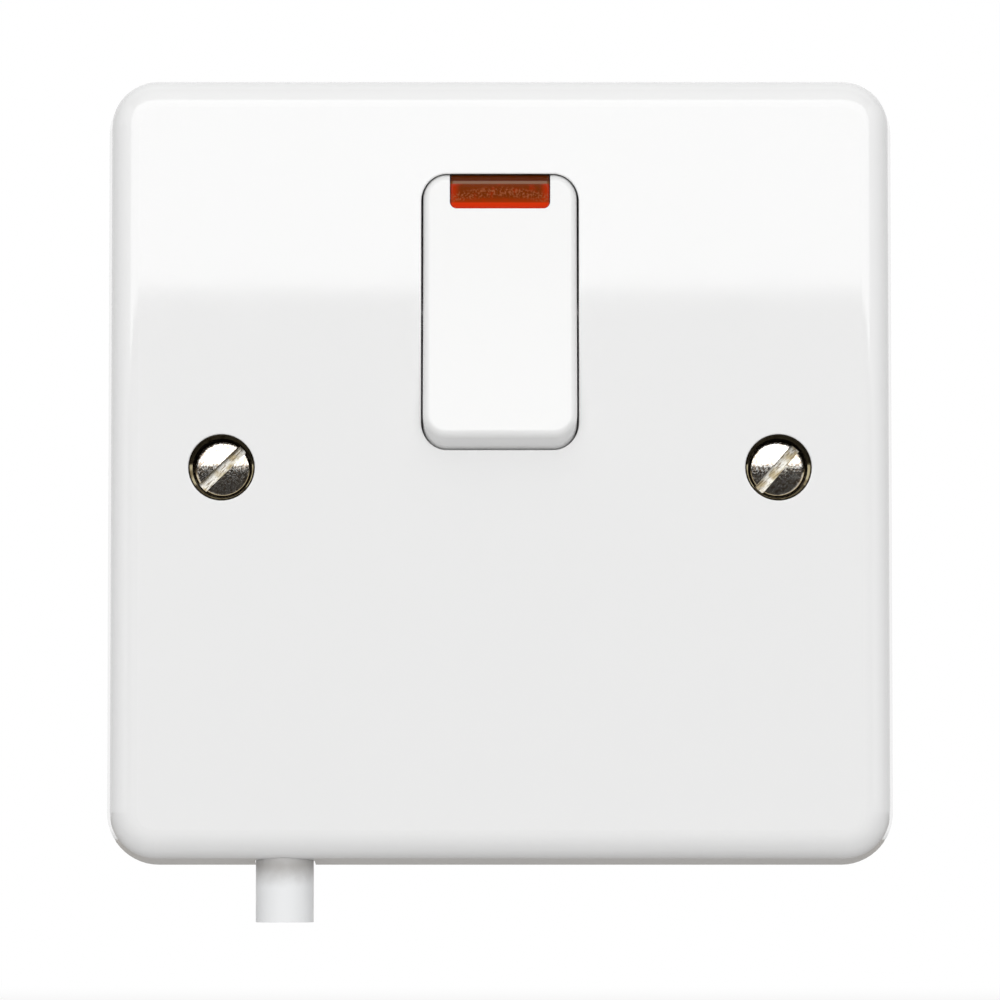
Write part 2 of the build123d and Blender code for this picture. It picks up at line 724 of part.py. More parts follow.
# Plungers and their springs, one pair for each pole
for pole, side in poles:
    plunger_side = rocker_side.offset(side * pole_offset)
    plunger_radius = plunger_diameter / 2
    with BuildPart() as plunger:
        with BuildSketch(plunger_side):
            with BuildLine():
                Polyline(
                    (plunger_reach, 0),
                    (plunger_root, 0),
                    (plunger_root, plunger_radius),
                    (plunger_reach - plunger_radius, plunger_radius),
                )
                CenterArc((plunger_reach - plunger_radius, 0), plunger_radius, 0, 90)
            make_face()
        revolve(axis=Axis(plunger_side.origin, plunger_side.x_dir))
    plunger.part.label = f"{pole}_plunger"
    export_step(plunger.part, f"parts/{pole}_plunger.step")

    spring_end = spring_wire / 2 + slip
    spring_length = plunger_root + wall_forward - 2 * spring_end
    with BuildPart() as plunger_spring:
        with BuildLine() as coil:
            Helix(
                pitch=spring_length / spring_turns,
                height=spring_length,
                radius=plunger_radius - spring_end,
                center=plunger_side.from_local_coords((spring_end - wall_forward, 0, 0)),
                direction=plunger_side.x_dir,
            )
        with BuildSketch(Plane(origin=coil.line @ 0, z_dir=coil.line % 0)):
            RegularPolygon(spring_wire / 2, 6)
        sweep(path=coil.line, is_frenet=True)
    plunger_spring.part.label = f"{pole}_plunger_spring"
    export_step(plunger_spring.part, f"parts/{pole}_plunger_spring.step")

# Contact arms, their tips and the brass behind them, one set for each pole
for pole, side in poles:
    arm_plane = arm_side.offset(side * pole_offset)
    arm_length = arm_up + arm_end + arm_down
    with BuildPart() as contact_arm:
        with BuildSketch(arm_plane):
            with Locations((-fulcrum_inset - arm_thickness / 2, arm_length / 2 - arm_down)):
                Rectangle(arm_thickness, arm_length)
            Circle(fulcrum_radius + running, mode=Mode.SUBTRACT)
        extrude(amount=arm_width / 2, both=True)
        fillet(contact_arm.edges().filter_by(Axis((0, 0, 0), arm_plane.x_dir)), arm_corner)
    contact_arm.part.label = f"{pole}_contact_arm"
    export_step(contact_arm.part, f"parts/{pole}_contact_arm.step")

    with BuildPart() as moving_tip:
        tip_top = tip_height - fulcrum_inset
        dome_half = tip_top - dome_radius + sqrt(dome_radius**2 - tip_radius**2 / 4)
        with BuildSketch(arm_plane):
            with BuildLine():
                Polyline(
                    (tip_top, arm_up),
                    (-fulcrum_inset, arm_up),
                    (-fulcrum_inset, arm_up + tip_radius),
                    (tip_edge - fulcrum_inset, arm_up + tip_radius),
                )
                ThreePointArc(
                    (tip_edge - fulcrum_inset, arm_up + tip_radius),
                    (dome_half, arm_up + tip_radius / 2),
                    (tip_top, arm_up),
                )
            make_face()
        revolve(axis=Axis(arm_plane.from_local_coords((0, arm_up, 0)), arm_plane.x_dir))
    moving_tip.part.label = f"{pole}_moving_tip"
    export_step(moving_tip.part, f"parts/{pole}_moving_tip.step")

    with BuildPart() as fixed_tip:
        with BuildSketch(room_plane(strip_y)):
            with Locations((side * pole_offset, supply_z)):
                Circle(fixed_tip_diameter / 2)
        extrude(amount=fixed_tip_thickness)
    fixed_tip.part.label = f"{pole}_fixed_tip"
    export_step(fixed_tip.part, f"parts/{pole}_fixed_tip.step")

    strip_outer = terminal_offset + terminal_width / 2
    supply_inner = pole_offset - strip_width / 2
    with BuildPart() as supply_strip:
        with BuildSketch(room_plane(strip_back_y)):
            with Locations((side * (supply_inner + strip_outer) / 2, supply_z)):
                Rectangle(strip_outer - supply_inner, strip_width)
        extrude(amount=strip_thickness)
    supply_strip.part.label = f"{pole}_supply_strip"
    export_step(supply_strip.part, f"parts/{pole}_supply_strip.step")

    load_inner = pole_offset - load_leg_width / 2
    foot_low = load_z - strip_width / 2
    leg_high = rocker_height + load_leg_above
    with BuildPart() as load_strip:
        with BuildSketch(room_plane(strip_back_y)):
            with Locations((side * (load_inner + strip_outer) / 2, load_z)):
                Rectangle(strip_outer - load_inner, strip_width)
            with Locations((side * pole_offset, (foot_low + leg_high) / 2)):
                Rectangle(load_leg_width, leg_high - foot_low)
        extrude(amount=strip_thickness)
        with BuildSketch(fulcrum_side.offset(side * pole_offset)):
            Circle(fulcrum_radius)
            with Locations(((strip_y - fulcrum_y) / 2, 0)):
                Rectangle(strip_y - fulcrum_y, 2 * fulcrum_radius)
        extrude(amount=load_leg_width / 2, both=True)
    load_strip.part.label = f"{pole}_load_strip"
    export_step(load_strip.part, f"parts/{pole}_load_strip.step")

    for duty, terminal_z in (("supply", supply_z), ("load", load_z)):
        with BuildPart() as terminal:
            with BuildSketch(room_plane(terminal_back_y)):
                with Locations((side * terminal_offset, terminal_z)):
                    Rectangle(terminal_width, terminal_height)
            extrude(amount=terminal_depth)
            chamfer(terminal.edges().filter_by(Axis.Z), terminal_bevel)
            with BuildSketch(Plane.XY.offset(terminal_z - terminal_height / 2)):
                with Locations((side * terminal_offset, terminal_bore_y)):
                    Circle(terminal_bore / 2)
            extrude(amount=terminal_height, mode=Mode.SUBTRACT)
            with BuildSketch(room_plane(terminal_back_y)):
                with Locations((side * terminal_offset, terminal_z)):
                    Circle(terminal_screw_diameter / 2 + slip)
            extrude(amount=terminal_back_y - terminal_bore_y, mode=Mode.SUBTRACT)
        terminal.part.label = f"{pole}_{duty}_terminal"
        export_step(terminal.part, f"parts/{pole}_{duty}_terminal.step")

# Terminal screws: backed out where the supply goes, and down on the flex's conductors
open_tip_y = terminal_bore_y + terminal_bore / 2 + terminal_screw_lift
shut_tip_y = clamped_y + conductor_diameter / 2 + slip
supply_terminal_screws = slotted_screws(
    [
        (side * terminal_offset, supply_z, open_tip_y, terminal_back_y + terminal_screw_lift)
        for side in (-1, 1)
    ],
    terminal_screw_diameter,
    terminal_screw_head,
    terminal_screw_head_height,
)
supply_terminal_screws.part.label = "supply_terminal_screws"
export_step(supply_terminal_screws.part, "parts/supply_terminal_screws.step")
load_terminal_screws = slotted_screws(
    [(side * terminal_offset, load_z, shut_tip_y, terminal_back_y + slip) for side in (-1, 1)],
    terminal_screw_diameter,
    terminal_screw_head,
    terminal_screw_head_height,
)
load_terminal_screws.part.label = "load_terminal_screws"
export_step(load_terminal_screws.part, "parts/load_terminal_screws.step")

# Earth terminal: a brass bar with a blind bore at each end, and a screw over each
with BuildPart() as earth_terminal:
    with BuildSketch(room_plane(inner_y)):
        with Locations((earth_offset, earth_height)):
            Rectangle(earth_length, earth_width)
    extrude(amount=inner_y - earth_back_y)
    chamfer(earth_terminal.edges().filter_by(Axis.X), terminal_bevel)
    for end_x, inward in ((earth_left, 1), (earth_right, -1)):
        with BuildSketch(Plane.YZ.offset(end_x)):
            with Locations((earth_bore_y, earth_height)):
                Circle(earth_bore / 2)
        extrude(amount=inward * earth_bore_depth, mode=Mode.SUBTRACT)
    with BuildSketch(room_plane(earth_back_y)):
        with Locations((earth_offset, earth_height)):
            with GridLocations(earth_screw_spacing, 0, 2, 1):
                Circle(earth_screw_diameter / 2 + slip)
    extrude(amount=earth_back_y - earth_bore_y, mode=Mode.SUBTRACT)
earth_terminal.part.label = "earth_terminal"
export_step(earth_terminal.part, "parts/earth_terminal.step")
earth_shut_y = earth_core_y + conductor_diameter / 2 + slip
earth_open_y = earth_bore_y + earth_bore / 2 + terminal_screw_lift
left_screw_x = earth_offset - earth_screw_spacing / 2
right_screw_x = earth_offset + earth_screw_spacing / 2
earth_terminal_screws = slotted_screws(
    [
        (left_screw_x, earth_height, earth_shut_y, earth_back_y + slip),
        (right_screw_x, earth_height, earth_open_y, earth_back_y + terminal_screw_lift),
    ],
    earth_screw_diameter,
    earth_screw_head,
    earth_screw_head_height,
)
earth_terminal_screws.part.label = "earth_terminal_screws"
export_step(earth_terminal_screws.part, "parts/earth_terminal_screws.step")

# Cord grip: a strap with an arch over the flex, and its two screws
with BuildPart() as cord_grip:
    with BuildSketch(Plane.XY.offset(grip_height - grip_width / 2)):
        with Locations((flex_offset, flex_y)):
            Circle(flex_diameter / 2 + grip_arch)
        with Locations((flex_offset, grip_seat_y - flex_diameter)):
            Rectangle(grip_length, 2 * flex_diameter, mode=Mode.SUBTRACT)
        with Locations((flex_offset, grip_seat_y + grip_thickness / 2)):
            Rectangle(grip_length, grip_thickness)
        with Locations((flex_offset, flex_y)):
            Circle(flex_diameter / 2 + slip, mode=Mode.SUBTRACT)
    extrude(amount=grip_width)
    with BuildSketch(room_plane(grip_back_y)):
        with Locations((flex_offset, grip_height)):
            with GridLocations(2 * grip_screw_offset, 0, 2, 1):
                Circle(tapping_screw_diameter / 2 + running)
    extrude(amount=grip_thickness, mode=Mode.SUBTRACT)
cord_grip.part.label = "cord_grip"
export_step(cord_grip.part, "parts/cord_grip.step")
cord_grip_screws = slotted_screws(
    [
        (flex_offset + side * grip_screw_offset, grip_height, tapping_end_y, grip_back_y)
        for side in (-1, 1)
    ],
    tapping_screw_diameter,
    tapping_screw_head - 2 * running,
    tapping_screw_head_height,
)
cord_grip_screws.part.label = "cord_grip_screws"
export_step(cord_grip_screws.part, "parts/cord_grip_screws.step")

# Indicator lamp: a glass envelope with two electrodes, a resistor and the leads to the load strips
lamp_right = lamp_length / 2
lamp_tip = lamp_diameter / 2 - lamp_right
with BuildPart() as indicator_lamp:
    for radius, right, mode in (
        (lamp_diameter / 2, lamp_right, Mode.ADD),
        (lamp_diameter / 2 - lamp_glass, lamp_right - lamp_seal, Mode.SUBTRACT),
    ):
        with BuildSketch(Plane(origin=(0, lamp_y, lamp_z))):
            with BuildLine():
                CenterArc((lamp_tip, 0), radius, 90, 90)
                Polyline((lamp_tip, radius), (right, radius), (right, 0), (lamp_tip - radius, 0))
            make_face()
        revolve(axis=Axis((0, lamp_y, lamp_z), (1, 0, 0)), mode=mode)
indicator_lamp.part.label = "indicator_lamp"
export_step(indicator_lamp.part, "parts/indicator_lamp.step")

with BuildPart() as indicator_electrodes:
    with BuildSketch(Plane.YZ.offset(lamp_right - lamp_seal - slip)):
        with Locations((lamp_y, lamp_z)):
            with GridLocations(electrode_spacing, 0, 2, 1):
                Circle(electrode_diameter / 2)
    extrude(amount=-electrode_length)
indicator_electrodes.part.label = "indicator_electrodes"
export_step(indicator_electrodes.part, "parts/indicator_electrodes.step")

resistor_end_y = resistor_start_y + resistor_length
with BuildPart() as indicator_resistor:
    with BuildSketch(room_plane(resistor_end_y)):
        with Locations((-wire_x, resistor_z)):
            Circle(resistor_diameter / 2 - resistor_waist)
    extrude(amount=resistor_length)
    for cap_y in (resistor_end_y, resistor_start_y + resistor_cap):
        with BuildSketch(room_plane(cap_y)):
            with Locations((-wire_x, resistor_z)):
                Circle(resistor_diameter / 2)
        extrude(amount=resistor_cap)
indicator_resistor.part.label = "indicator_resistor"
export_step(indicator_resistor.part, "parts/indicator_resistor.step")

live_lead_y = lamp_y + electrode_spacing / 2
neutral_lead_y = lamp_y - electrode_spacing / 2
turn_y = resistor_end_y + 2 * lead_bend
drop_y = strip_y - lead_bend - lead_diameter / 2
land_x = pole_offset + load_leg_width / 2 - lead_diameter
land_y = strip_y - lead_diameter / 2 - slip
land_z = rocker_height + load_leg_above - lead_diameter
lead_routes = (
    (
        (lamp_right + slip, live_lead_y, lamp_z),
        (wire_x, live_lead_y, lamp_z),
        (wire_x, turn_y, lamp_z),
        (lead_x, turn_y, lamp_z),
        (lead_x, drop_y, lamp_z),
        (lead_x, drop_y, land_z),
        (land_x, land_y, land_z),
    ),
    (
        (lamp_right + slip, neutral_lead_y, lamp_z),
        (wire_x, neutral_lead_y, lamp_z),
        (wire_x, neutral_lead_y, resistor_z),
        (-wire_x, neutral_lead_y, resistor_z),
        (-wire_x, resistor_start_y - slip, resistor_z),
    ),
    (
        (-wire_x, resistor_end_y + slip, resistor_z),
        (-wire_x, turn_y, resistor_z),
        (-lead_x, turn_y, resistor_z),
        (-lead_x, drop_y, resistor_z),
        (-lead_x, drop_y, land_z),
        (-land_x, land_y, land_z),
    ),
)
with BuildSketch() as lead_section:
    RegularPolygon(lead_diameter / 2, lead_sides)
with BuildPart() as indicator_leads:
    for lead_route in lead_routes:
        add(wire(lead_route, lead_bend, lead_section.sketch))
indicator_leads.part.label = "indicator_leads"
export_step(indicator_leads.part, "parts/indicator_leads.step")

# Flex: a round sheath with three cores, which fan out from its end to their terminals
core_places = (
    (flex_offset + core_side, core_back_y),
    (flex_offset - core_side, core_back_y),
    (flex_offset, earth_core_y),
)
with BuildPart() as flex_sheath:
    with BuildSketch(Plane.XY.offset(stub_z)):
        with Locations((flex_offset, flex_y)):
            Circle(flex_diameter / 2)
        with Locations(*core_places):
            Circle(core_diameter / 2 + slip / 2, mode=Mode.SUBTRACT)
    extrude(amount=flex_end - stub_z)
flex_sheath.part.label = "flex_sheath"
export_step(flex_sheath.part, "parts/flex_sheath.step")

turn_z = flex_end + core_turn
rise_z = block_low - core_rise
bared_z = block_low - bare_gap
clamped_z = load_z + terminal_height / 2 - bare_gap
live_x, live_y = core_places[0]
neutral_x, neutral_y = core_places[1]
bared_x = earth_left - bare_gap
core_runs = {
    "live": (
        (live_x, live_y, stub_z),
        (live_x, live_y, turn_z),
        (live_x + core_step, live_y + core_step, turn_z + core_step),
        (0, clamped_y - core_sag, rise_z - core_step),
        (terminal_offset, clamped_y, rise_z),
        (terminal_offset, clamped_y, bared_z),
    ),
    "neutral": (
        (neutral_x, neutral_y, stub_z),
        (neutral_x, neutral_y, turn_z),
        (-terminal_offset, clamped_y, rise_z),
        (-terminal_offset, clamped_y, bared_z),
    ),
    "earth": (
        (flex_offset, earth_core_y, stub_z),
        (flex_offset, earth_core_y, earth_height),
        (bared_x, earth_core_y, earth_height),
    ),
}
bared_lengths = {
    "live": clamped_z - bared_z,
    "neutral": clamped_z - bared_z,
    "earth": earth_bore_depth,
}
with BuildSketch() as core_section:
    Circle(core_diameter / 2)
for core, run in core_runs.items():
    cut_plane = Plane(origin=run[0])
    end_plane = Plane(origin=run[-1], z_dir=Vector(*run[-1]) - Vector(*run[-2]))
    with BuildPart() as insulation:
        add(wire(run, core_bend, core_section.sketch))
        for mouth, inward in ((cut_plane, 1), (end_plane, -1)):
            with BuildSketch(mouth):
                Circle(conductor_diameter / 2 + slip)
            extrude(amount=inward * core_mouth, mode=Mode.SUBTRACT)
    insulation.part.label = f"{core}_core"
    export_step(insulation.part, f"parts/{core}_core.step")
    with BuildPart() as conductor:
        with BuildSketch(cut_plane):
            Circle(conductor_diameter / 2)
        extrude(amount=core_mouth)
        with BuildSketch(end_plane.offset(-core_mouth)):
            Circle(conductor_diameter / 2)
        extrude(amount=core_mouth + bared_lengths[core])
    conductor.part.label = f"{core}_conductor"
    export_step(conductor.part, f"parts/{core}_conductor.step")
print("bend radii: cores", core_bend, "leads", lead_bend)
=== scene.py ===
"""Finishes, fine detail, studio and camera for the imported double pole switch.

Everything is in metres in the part's own frame: X right across the face, Y into the wall, Z up.
"""

import json
from math import cos, pi, radians, sin, sqrt, tan, tau

import bmesh
import bpy
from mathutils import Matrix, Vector


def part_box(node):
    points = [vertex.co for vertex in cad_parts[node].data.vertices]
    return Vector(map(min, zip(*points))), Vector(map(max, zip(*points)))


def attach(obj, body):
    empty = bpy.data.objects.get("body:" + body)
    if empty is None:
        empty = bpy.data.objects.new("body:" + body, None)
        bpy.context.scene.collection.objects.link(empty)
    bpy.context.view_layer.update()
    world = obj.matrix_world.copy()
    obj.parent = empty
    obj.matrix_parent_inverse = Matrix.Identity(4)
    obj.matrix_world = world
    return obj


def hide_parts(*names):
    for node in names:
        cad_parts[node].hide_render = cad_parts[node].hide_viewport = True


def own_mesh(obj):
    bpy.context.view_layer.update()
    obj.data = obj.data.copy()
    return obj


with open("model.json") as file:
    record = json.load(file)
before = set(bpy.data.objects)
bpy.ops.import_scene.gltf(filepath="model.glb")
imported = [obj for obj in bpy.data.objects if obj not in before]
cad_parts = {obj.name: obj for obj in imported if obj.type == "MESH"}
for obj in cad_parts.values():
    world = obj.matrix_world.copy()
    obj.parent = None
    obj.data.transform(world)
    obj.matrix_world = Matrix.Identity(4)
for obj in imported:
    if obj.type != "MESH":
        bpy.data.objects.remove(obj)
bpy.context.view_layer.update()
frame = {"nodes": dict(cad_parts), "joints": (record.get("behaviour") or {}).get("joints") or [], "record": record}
nodes = frame["nodes"]
mounts = {mount["name"]: mount for mount in frame["record"]["mounts"]}
joints = {joint["name"]: joint for joint in frame["joints"]}
MM = 0.001
MICRON = 1e-6


# Materials

# The index of plastic and glass, the values that noise mostly keeps to, and a Mix node's colour sockets
IOR = 1.5
NOISE_LOW, NOISE_HIGH = 0.3, 0.7
MIX_FIRST, MIX_SECOND, MIX_RESULT = 6, 7, 2


class Finish:
    """A material in the making: one Principled shader and the nodes that give it its detail."""

    def __init__(self, name, sockets):
        self.material = bpy.data.materials.new(name)
        self.material.use_nodes = True
        self.tree = self.material.node_tree
        self.shader = self.tree.nodes["Principled BSDF"]
        self.place = None
        for socket, value in sockets.items():
            self.shader.inputs[socket].default_value = value

    def node(self, kind, links=None, values=None, **settings):
        """Adds a node with its settings, its linked inputs and its fixed inputs."""
        node = self.tree.nodes.new(kind)
        for key, value in settings.items():
            setattr(node, key, value)
        for socket, source in (links or {}).items():
            self.tree.links.new(source, node.inputs[socket])
        for socket, value in (values or {}).items():
            node.inputs[socket].default_value = value
        return node

    def position(self):
        """The point on the part, in metres."""
        if self.place is None:
            self.place = self.node("ShaderNodeTexCoord").outputs["Object"]
        return self.place

    def axes(self):
        """The point's X, Y and Z, each by its letter."""
        return self.node("ShaderNodeSeparateXYZ", {"Vector": self.position()}).outputs

    def math(self, operation, *terms):
        """The result of one sum on sockets or numbers."""
        node = self.node("ShaderNodeMath", operation=operation)
        for socket, term in zip(node.inputs, terms):
            if isinstance(term, bpy.types.NodeSocket):
                self.tree.links.new(term, socket)
            else:
                socket.default_value = term
        return node.outputs[0]

    def ramp(self, fac, start, full, start_value=0.0, full_value=1.0):
        """A smooth step of fac from start_value to full_value."""
        values = {"From Min": start, "From Max": full, "To Min": start_value, "To Max": full_value}
        node = self.node(
            "ShaderNodeMapRange", {"Value": fac}, values, interpolation_type="SMOOTHSTEP"
        )
        return node.outputs["Result"]

    def noise(self, size, detail=2, stretch=(1, 1, 1), turn=(0, 0, 0)):
        """Cloudy noise of blotches about size across, stretched along axes that are turned first."""
        values = {"Scale": [size * factor for factor in stretch], "Rotation": turn}
        place = self.node(
            "ShaderNodeMapping", {"Vector": self.position()}, values, vector_type="TEXTURE"
        )
        node = self.node(
            "ShaderNodeTexNoise", {"Vector": place.outputs[0]}, {"Scale": 1.0, "Detail": detail}
        )
        return node.outputs["Fac"]

    def patches(self, size, start, full, detail=4, most=1.0):
        """Patches about size across, which set in where noise passes start and reach most at full."""
        return self.ramp(self.noise(size, detail), start, full, 0.0, most)

    def wander(self, noise, low_value, high_value):
        """Noise spread between two values."""
        return self.ramp(noise, NOISE_LOW, NOISE_HIGH, low_value, high_value)

    def mix(self, fac, first, second):
        """A colour between two, each a colour or a socket."""
        node = self.node("ShaderNodeMix", {"Factor": fac}, data_type="RGBA")
        for socket, value in ((node.inputs[MIX_FIRST], first), (node.inputs[MIX_SECOND], second)):
            if isinstance(value, bpy.types.NodeSocket):
                self.tree.links.new(value, socket)
            else:
                socket.default_value = (*value, 1)
        return node.outputs[MIX_RESULT]

    def colour(self, socket):
        """Sets the colour, in place of any that is there already."""
        self.tree.links.new(socket, self.shader.inputs["Base Color"])
        return self

    def coat(self, fac, colour):
        """Lays a colour over the one that is there already, by fac."""
        under = self.shader.inputs["Base Color"].links[0].from_socket
        return self.colour(self.mix(fac, under, colour))

    def roughness(self, socket):
        """Sets the roughness."""
        self.tree.links.new(socket, self.shader.inputs["Roughness"])
        return self

    def bump(self, height, depth):
        """Sets relief of the given depth."""
        node = self.node("ShaderNodeBump", {"Height": height}, {"Distance": depth, "Strength": 1.0})
        self.tree.links.new(node.outputs["Normal"], self.shader.inputs["Normal"])
        return self


def white_moulding(name, pale, deep, gloss):
    """Glossy white moulded plastic, faintly clouded, with a trace of orange peel."""
    finish = Finish(name, {"IOR": IOR})
    clouds = finish.noise(18 * MM, 4)
    haze = finish.noise(6 * MM, 3)
    orange_peel = finish.noise(1.4 * MM, 1)
    finish.colour(finish.mix(clouds, deep, pale))
    finish.roughness(finish.wander(haze, 0.8 * gloss, 1.25 * gloss))
    return finish.bump(orange_peel, 0.4 * MICRON)


def matt_moulding(name, pale, deep, roughness, grain):
    """Matt moulded plastic with flow clouds and an eroded grain."""
    finish = Finish(name, {"IOR": IOR})
    flow = finish.noise(7 * MM, 5, stretch=(1, 1, 2.5))
    haze = finish.noise(3 * MM, 3)
    finish.colour(finish.mix(flow, deep, pale))
    finish.roughness(finish.wander(haze, roughness - 0.06, roughness + 0.06))
    return finish.bump(finish.noise(grain, 3), 0.03 * grain)


def soft_plastic(name, pale, deep):
    """Soft flex insulation, drawn along its length, with a dull sheen."""
    finish = Finish(name, {"IOR": IOR, "Sheen Weight": 0.08, "Sheen Roughness": 0.4})
    streaks = finish.noise(2.5 * MM, 3, stretch=(1, 1, 6))
    haze = finish.noise(1.5 * MM, 3)
    draw_lines = finish.noise(0.5 * MM, 2, stretch=(1, 1, 8))
    finish.colour(finish.mix(streaks, deep, pale))
    finish.roughness(finish.wander(haze, 0.36, 0.5))
    return finish.bump(draw_lines, 6 * MICRON)


def metal(name, pale, deep, roughness, patch, stretch=(1, 1, 1)):
    """Worked metal: drawn or rolled lines along stretch, and tarnish in patches of that size."""
    finish = Finish(name, {"Metallic": 1.0})
    tarnish = finish.patches(patch, 0.42, 0.72)
    lines = finish.noise(0.08 * patch, 2, stretch)
    finish.colour(finish.mix(tarnish, pale, deep))
    finish.roughness(finish.wander(lines, 0.75 * roughness, 1.3 * roughness))
    return finish.bump(lines, 0.0012 * patch)


def earth_stripes():
    """Green and yellow insulation: two broad yellow stripes along a green core."""
    yellow = (0.62, 0.50, 0.02)
    stripe_start, stripe_full = 0.55, 0.62
    finish = soft_plastic("core_green_yellow", (0.05, 0.24, 0.05), (0.04, 0.19, 0.04))
    facing = finish.node("ShaderNodeTexCoord").outputs["Normal"]
    across = finish.node("ShaderNodeSeparateXYZ", {"Vector": facing}).outputs["Y"]
    stripe = finish.ramp(finish.math("ABSOLUTE", across), stripe_start, stripe_full)
    return finish.coat(stripe, yellow)


def sheath_white():
    """White flex sheath, with a painted shadow of the plate where it leaves the plate's lower edge."""
    # Painted shadow: a dark colour laid on most strongly at the plate's lower edge and fading over 3 mm, with an
    # uneven border.
    painted_shade = (0.30, 0.28, 0.26)
    shade_start, shade_full, shade_most = 3.0 * MM, 0.2 * MM, 0.72
    unevenness = 0.8 * MM
    finish = soft_plastic("sheath_white", (0.87, 0.875, 0.88), (0.83, 0.84, 0.85))
    above_edge = finish.math("SUBTRACT", finish.axes()["Z"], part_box("front_plate")[0].z)
    away = finish.math("ABSOLUTE", above_edge)
    uneven = finish.math("MULTIPLY_ADD", finish.noise(1.2 * MM, 3), unevenness, away)
    return finish.coat(finish.ramp(uneven, shade_start, shade_full, 0.0, shade_most), painted_shade)


def lamp_glass():
    """Thin clear glass with drawn ripples."""
    finish = Finish("lamp_glass", {"IOR": IOR, "Transmission Weight": 1.0})
    tint = finish.noise(3 * MM, 2)
    haze = finish.noise(2 * MM, 2)
    ripples = finish.noise(1.5 * MM, 1)
    finish.colour(finish.mix(tint, (0.93, 0.95, 0.95), (0.98, 0.98, 0.98)))
    finish.roughness(finish.wander(haze, 0.02, 0.07))
    return finish.bump(ripples, 4 * MICRON)


# Carried-over CAD nodes get their finishes

poles = ("live", "neutral")
circuit_ends = ("supply", "load")


def dress(finish, *names):
    """Gives CAD nodes a finish and leaves their shapes alone."""
    for name in names:
        nodes[name].material_slots[0].material = finish.material


dress(white_moulding("plate_white", (0.87, 0.87, 0.868), (0.858, 0.858, 0.856), gloss=0.03),
      "front_plate")
dress(white_moulding("rocker_white", (0.845, 0.845, 0.841), (0.833, 0.833, 0.828), gloss=0.03),
      "rocker")
dress(matt_moulding("base_moulding", (0.80, 0.80, 0.78), (0.74, 0.74, 0.715),
                    roughness=0.5, grain=0.35 * MM),
      "switch_base", "terminal_block", "cord_grip")
dress(matt_moulding("nylon", (0.82, 0.80, 0.72), (0.76, 0.74, 0.66), roughness=0.42, grain=0.3 * MM),
      *(f"{pole}_plunger" for pole in poles))
dress(matt_moulding("red_fibre", (0.30, 0.09, 0.055), (0.22, 0.06, 0.04),
                    roughness=0.7, grain=0.4 * MM),
      "screw_retainers")
dress(matt_moulding("lacquer", (0.66, 0.50, 0.30), (0.58, 0.42, 0.24), roughness=0.4, grain=0.3 * MM),
      "indicator_resistor")
dress(soft_plastic("core_brown", (0.15, 0.06, 0.03), (0.11, 0.042, 0.02)), "live_core")
dress(soft_plastic("core_blue", (0.02, 0.12, 0.42), (0.015, 0.09, 0.33)), "neutral_core")
dress(earth_stripes(), "earth_core")
dress(sheath_white(), "flex_sheath")
dress(lamp_glass(), "indicator_lamp")
dress(metal("zinc", (0.72, 0.73, 0.74), (0.58, 0.60, 0.60), roughness=0.28, patch=2 * MM),
      "base_screws", "cord_grip_screws")
dress(metal("brass", (0.80, 0.60, 0.27), (0.60, 0.41, 0.17), roughness=0.26, patch=5 * MM,
            stretch=(1, 1, 12)),
      "earth_terminal", *(f"{pole}_{end}_terminal" for pole in poles for end in circuit_ends))
dress(metal("turned_brass", (0.82, 0.63, 0.30), (0.62, 0.44, 0.19), roughness=0.24, patch=2 * MM),
      "supply_terminal_screws", "load_terminal_screws", "earth_terminal_screws")
dress(metal("rolled_brass", (0.82, 0.62, 0.30), (0.66, 0.46, 0.20), roughness=0.22, patch=4 * MM,
            stretch=(10, 1, 1)),
      *(f"{pole}_{end}_strip" for pole in poles for end in circuit_ends))
copper = metal("copper", (0.83, 0.42, 0.24), (0.56, 0.24, 0.12), roughness=0.28, patch=3 * MM,
               stretch=(1, 1, 10))
dress(copper, *(f"{pole}_contact_arm" for pole in poles))
dress(metal("silver", (0.88, 0.87, 0.84), (0.70, 0.68, 0.62), roughness=0.25, patch=1.5 * MM),
      *(f"{pole}_{tip}_tip" for pole in poles for tip in ("moving", "fixed")))
dress(metal("electrode", (0.55, 0.53, 0.50), (0.34, 0.32, 0.30), roughness=0.4, patch=1 * MM),
      "indicator_electrodes")
dress(metal("tinned", (0.74, 0.74, 0.73), (0.60, 0.60, 0.58), roughness=0.25, patch=1 * MM),
      "indicator_leads")


# Mesh helpers

weld_distance = 0.1 * MICRON
sharp_edge = radians(30)


def grid_faces(rows, steps):
    """Corner numbers of the quads between rows of steps points each, closed round each row."""
    for row in range(rows - 1):
        for step in range(steps):
            beside = (step + 1) % steps
            yield [row * steps + step, row * steps + beside,
                   (row + 1) * steps + beside, (row + 1) * steps + step]


def skin(name, rows, capped=True):
    """A closed mesh over rows of points that run round a shape, capped unless it ends as it starts."""
    steps = len(rows[0])
    faces = list(grid_faces(len(rows), steps))
    if capped:
        faces.append(list(range(steps)))
        faces.append([(len(rows) - 1) * steps + step for step in range(steps)])
    mesh = bpy.data.meshes.new(name)
    mesh.from_pydata([tuple(point) for row in rows for point in row], [], faces)
    work = bmesh.new()
    work.from_mesh(mesh)
    bmesh.ops.remove_doubles(work, verts=work.verts, dist=weld_distance)
    bmesh.ops.recalc_face_normals(work, faces=work.faces)
    work.to_mesh(mesh)
    work.free()
    return mesh


def smooth(mesh):
    """Smooth shading except across the mesh's real edges."""
    mesh.shade_smooth()
    mesh.set_sharp_from_angle(angle=sharp_edge)


def place(name, mesh, finish):
    """An object of that mesh in one finish."""
    smooth(mesh)
    mesh.materials.clear()
    mesh.materials.append(finish.material)
    piece = bpy.data.objects.new(name, mesh)
    bpy.context.scene.collection.objects.link(piece)
    return piece


